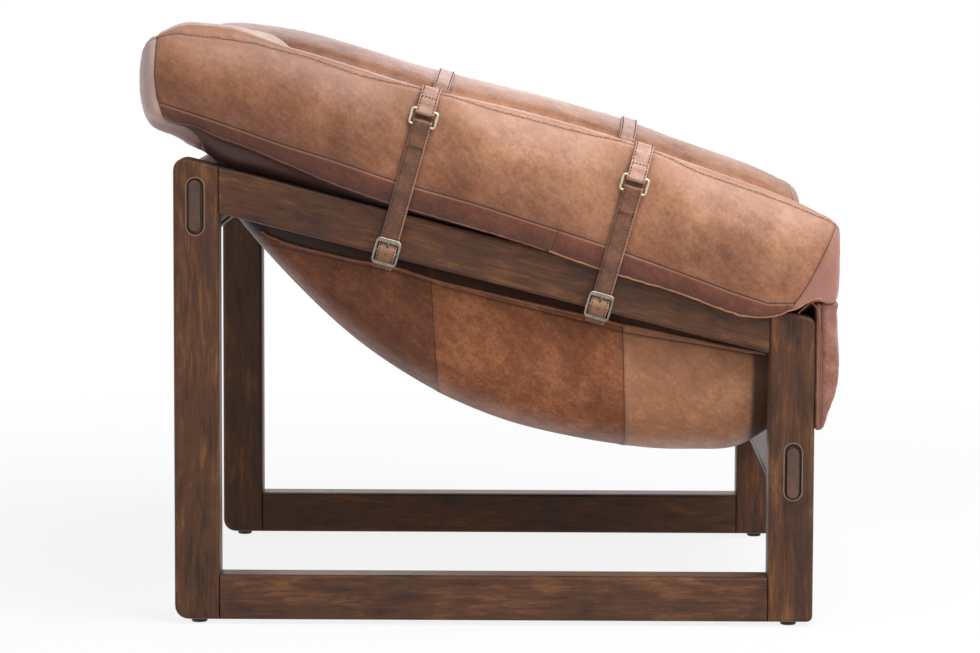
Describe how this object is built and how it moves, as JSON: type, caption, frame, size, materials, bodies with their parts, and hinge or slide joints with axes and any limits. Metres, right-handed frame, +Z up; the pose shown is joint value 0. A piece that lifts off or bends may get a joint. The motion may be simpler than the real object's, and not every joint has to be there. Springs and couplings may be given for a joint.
{
  "type": "accent chair",
  "caption": "Low lounge chair with two wooden side frames, a slung leather seat, draped arm cushions and buckled straps.",
  "frame": {"origin": "on the floor under the middle of the whole chair", "axes": "+Z up; +X towards the chair's left side, a sitter's left hand; -Y the way a sitter faces"},
  "size_m": [0.8522, 0.866, 0.739],
  "materials": {
    "walnut": "dark oiled, satin",
    "cushion_leather": "worn tan, mottled",
    "apron_leather": "worn reddish tan",
    "sling_leather": "thick brown, stitched panels",
    "strap_leather": "brown, edge stitched",
    "strap_metal": "nickel plated, polished",
    "glide_plastic": "near black"
  },
  "bodies": {
    "frame_and_upholstery": {"anchor_strap_front_left": "strap_leather", "anchor_strap_front_right": "strap_leather", "anchor_strap_rear_left": "strap_leather", "anchor_strap_rear_right": "strap_leather", "arm_cushion_left": "cushion_leather", "arm_cushion_right": "cushion_leather", "arm_rail_left": "walnut", "arm_rail_right": "walnut", "back_cross_rail": "walnut", "back_cushion": "cushion_leather", "back_leg_left": "walnut", "back_leg_right": "walnut", "bottom_rail_left": "walnut", "bottom_rail_right": "walnut", "buckle_frame_front_left": "strap_metal", "buckle_frame_front_right": "strap_metal", "buckle_frame_rear_left": "strap_metal", "buckle_frame_rear_right": "strap_metal", "buckle_pin_front_left": "strap_metal", "buckle_pin_front_right": "strap_metal", "buckle_pin_rear_left": "strap_metal", "buckle_pin_rear_right": "strap_metal", "front_apron": "apron_leather", "front_cross_rail": "walnut", "front_leg_left": "walnut", "front_leg_right": "walnut", "glide_back_left": "glide_plastic", "glide_back_right": "glide_plastic", "glide_front_left": "glide_plastic", "glide_front_right": "glide_plastic", "loose_tenon_back_lower_left": "walnut", "loose_tenon_back_lower_right": "walnut", "loose_tenon_back_upper_left": "walnut", "loose_tenon_back_upper_right": "walnut", "loose_tenon_front_lower_left": "walnut", "loose_tenon_front_lower_right": "walnut", "loose_tenon_front_upper_left": "walnut", "loose_tenon_front_upper_right": "walnut", "lower_strap_front_left": "strap_leather", "lower_strap_front_right": "strap_leather", "lower_strap_rear_left": "strap_leather", "lower_strap_rear_right": "strap_leather", "ring_front_left": "strap_metal", "ring_front_right": "strap_metal", "ring_rear_left": "strap_metal", "ring_rear_right": "strap_metal", "seat_cushion": "cushion_leather", "sling_seat": "sling_leather", "upper_strap_front_left": "strap_leather", "upper_strap_front_right": "strap_leather", "upper_strap_rear_left": "strap_leather", "upper_strap_rear_right": "strap_leather"},
    "tongue_rear_left": {"buckle_tongue_rear_left": "strap_metal"},
    "tongue_rear_right": {"buckle_tongue_rear_right": "strap_metal"},
    "tongue_front_left": {"buckle_tongue_front_left": "strap_metal"},
    "tongue_front_right": {"buckle_tongue_front_right": "strap_metal"}
  },
  "joints": [
    {"name": "tongue_lift_rear_left", "type": "hinge", "parent": "frame_and_upholstery", "child": "tongue_rear_left", "pos_m": [0.3998, 0.12599, 0.46574], "axis": [0, 0.9632, 0.2689], "range_deg": [0, 6]},
    {"name": "tongue_lift_rear_right", "type": "hinge", "parent": "frame_and_upholstery", "child": "tongue_rear_right", "pos_m": [-0.3998, 0.12599, 0.46574], "axis": [0, -0.9632, -0.2689], "range_deg": [0, 6]},
    {"name": "tongue_lift_front_left", "type": "hinge", "parent": "frame_and_upholstery", "child": "tongue_front_left", "pos_m": [0.3998, -0.13602, 0.39993], "axis": [0, 0.9632, 0.2689], "range_deg": [0, 6]},
    {"name": "tongue_lift_front_right", "type": "hinge", "parent": "frame_and_upholstery", "child": "tongue_front_right", "pos_m": [-0.3998, -0.13602, 0.39993], "axis": [0, -0.9632, -0.2689], "range_deg": [0, 6]}
  ]
}
